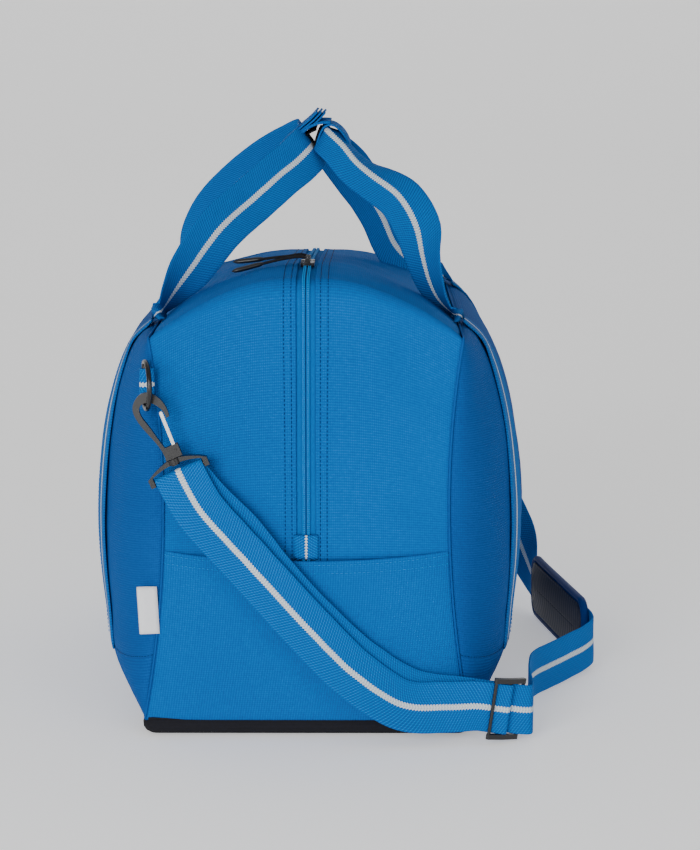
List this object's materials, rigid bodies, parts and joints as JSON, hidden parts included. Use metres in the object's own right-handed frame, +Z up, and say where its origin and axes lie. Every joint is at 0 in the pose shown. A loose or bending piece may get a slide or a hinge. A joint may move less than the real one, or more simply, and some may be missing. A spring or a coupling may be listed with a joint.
{
  "type": "duffel bag",
  "caption": "Soft-sided weekend duffel bag with a zipped top, end pockets, joined carry handles and a clip-on padded shoulder strap with an adjuster.",
  "frame": {"origin": "middle of the flat underside of the base, on the ground", "axes": "+Z up, +Y along the bag from the near end to the far end, +X to the right side"},
  "size_m": [0.4282, 0.5908, 0.4873],
  "materials": {
    "panel_fabric": "matte plain-weave polyester",
    "pocket_fabric": "matte plain-weave polyester, pocket grain",
    "base_fabric": "matte coated black polyester",
    "webbing": "ribbed polyester webbing with an off-white centre stripe",
    "zip": "woven tape and polyester coil",
    "black_plastic": "moulded acetal, fine texture",
    "zip_metal": "black lacquer",
    "pull_cord": "black braid",
    "steel": "plain steel",
    "board": "stiffener board",
    "pad_foam": "fabric over foam",
    "pad_rubber": "ribbed grip",
    "binding": "folded binding tape",
    "label": "plain white tape",
    "hook_loop": "hook and loop tape"
  },
  "bodies": {
    "root": {"side_panel_left": "panel_fabric", "side_lower_band_left": "panel_fabric", "zip_gusset_left": "panel_fabric", "zip_tape_left": "zip", "handle_run_left_near": "webbing", "handle_run_left_far": "webbing", "side_panel_right": "panel_fabric", "side_lower_band_right": "panel_fabric", "zip_gusset_right": "panel_fabric", "zip_tape_right": "zip", "handle_run_right_near": "webbing", "handle_run_right_far": "webbing", "end_panel_near": "panel_fabric", "end_pocket_near": "pocket_fabric", "zip_end_tab_near": "webbing", "ring_loop_near": "webbing", "swivel_base_near": "black_plastic", "end_panel_far": "panel_fabric", "end_pocket_far": "pocket_fabric", "zip_end_tab_far": "webbing", "ring_loop_far": "webbing", "swivel_base_far": "black_plastic", "zip_coil": "zip", "base_panel": "base_fabric", "base_board": "board", "strap_front_ply": "webbing", "strap_back_ply": "webbing", "strap_side_run": "webbing", "strap_far_leg": "webbing", "seam_label": "label"},
    "handle_left": {"handle_loop_left": "webbing", "grip_wrap_left": "panel_fabric"},
    "handle_right": {"handle_loop_right": "webbing", "grip_wrap_right": "panel_fabric"},
    "slider_near": {"zip_slider_near": "zip_metal"},
    "pull_near": {"zip_pull_near": "pull_cord"},
    "ring_near": {"d_ring_near": "black_plastic"},
    "hook_near": {"snap_hook_near": "black_plastic", "gate_rivet_near": "steel"},
    "gate_near": {"hook_gate_near": "steel"},
    "pad": {"pad_keeper_near": "webbing", "pad_keeper_far": "webbing", "pad_core": "pad_foam", "pad_grip": "pad_rubber", "pad_binding": "binding"},
    "slider_far": {"zip_slider_far": "zip_metal"},
    "pull_far": {"zip_pull_far": "pull_cord"},
    "ring_far": {"d_ring_far": "black_plastic"},
    "hook_far": {"snap_hook_far": "black_plastic", "gate_rivet_far": "steel"},
    "gate_far": {"hook_gate_far": "steel"},
    "adjuster": {"strap_adjuster": "black_plastic", "strap_end_loop": "webbing"}
  },
  "joints": [
    {"name": "handle_left_swing", "type": "hinge", "parent": "root", "child": "handle_left", "pos_m": [-0.131, 0, 0.321], "axis": [0, -1, 0], "range_deg": [0, 150]},
    {"name": "handle_right_swing", "type": "hinge", "parent": "root", "child": "handle_right", "pos_m": [0.131, 0, 0.321], "axis": [0, 1, 0], "range_deg": [0, 145]},
    {"name": "zip_slider_near_slide", "type": "slide", "parent": "root", "child": "slider_near", "axis": [0, -0.9989, -0.047], "range_m": [0, 0.055]},
    {"name": "zip_pull_near_flip", "type": "hinge", "parent": "slider_near", "child": "pull_near", "pos_m": [0, -0.17525, 0.37292], "axis": [0, 0.9989, 0.047], "range_deg": [0, 155]},
    {"name": "zip_slider_far_slide", "type": "slide", "parent": "root", "child": "slider_far", "axis": [0, 0.9982, -0.0601], "range_m": [0, 0.36]},
    {"name": "zip_pull_far_flip", "type": "hinge", "parent": "slider_far", "child": "pull_far", "pos_m": [0, -0.15468, 0.37279], "axis": [0, 0.9982, -0.0601], "range_deg": [0, 155]},
    {"name": "ring_near_turn", "type": "hinge", "parent": "root", "child": "ring_near", "pos_m": [-0.125, -0.2565, 0.283], "axis": [0, 0, 1], "range_deg": [-4, 4]},
    {"name": "hook_near_swivel", "type": "hinge", "parent": "root", "child": "hook_near", "pos_m": [-0.10252, -0.27011, 0.22689], "axis": [-0.4003, 0, 0.9164], "range_deg": [-10, 10]},
    {"name": "gate_near_open", "type": "hinge", "parent": "hook_near", "child": "gate_near", "pos_m": [-0.10053, -0.27011, 0.23431], "axis": [0, -1, 0], "range_deg": [0, 18], "stiffness_Nm_per_rad": 0.02, "springref_deg": -17.19},
    {"name": "ring_far_turn", "type": "hinge", "parent": "root", "child": "ring_far", "pos_m": [0.125, 0.2565, 0.283], "axis": [0, 0, 1], "range_deg": [-4, 4]},
    {"name": "hook_far_swivel", "type": "hinge", "parent": "root", "child": "hook_far", "pos_m": [0.13762, 0.27955, 0.22689], "axis": [0.0175, -0.4, 0.9164], "range_deg": [-10, 10]},
    {"name": "gate_far_open", "type": "hinge", "parent": "hook_far", "child": "gate_far", "pos_m": [0.13753, 0.28154, 0.23431], "axis": [0.999, 0.0436, 0], "range_deg": [0, 18], "stiffness_Nm_per_rad": 0.02, "springref_deg": -17.19},
    {"name": "adjuster_slide", "type": "slide", "parent": "root", "child": "adjuster", "axis": [0.9903, 0, -0.1392], "range_m": [-0.012, 0]},
    {"name": "pad_slide", "type": "slide", "parent": "root", "child": "pad", "axis": [-0.1571, 0.9876, 0], "range_m": [-0.006, 0.006]}
  ]
}
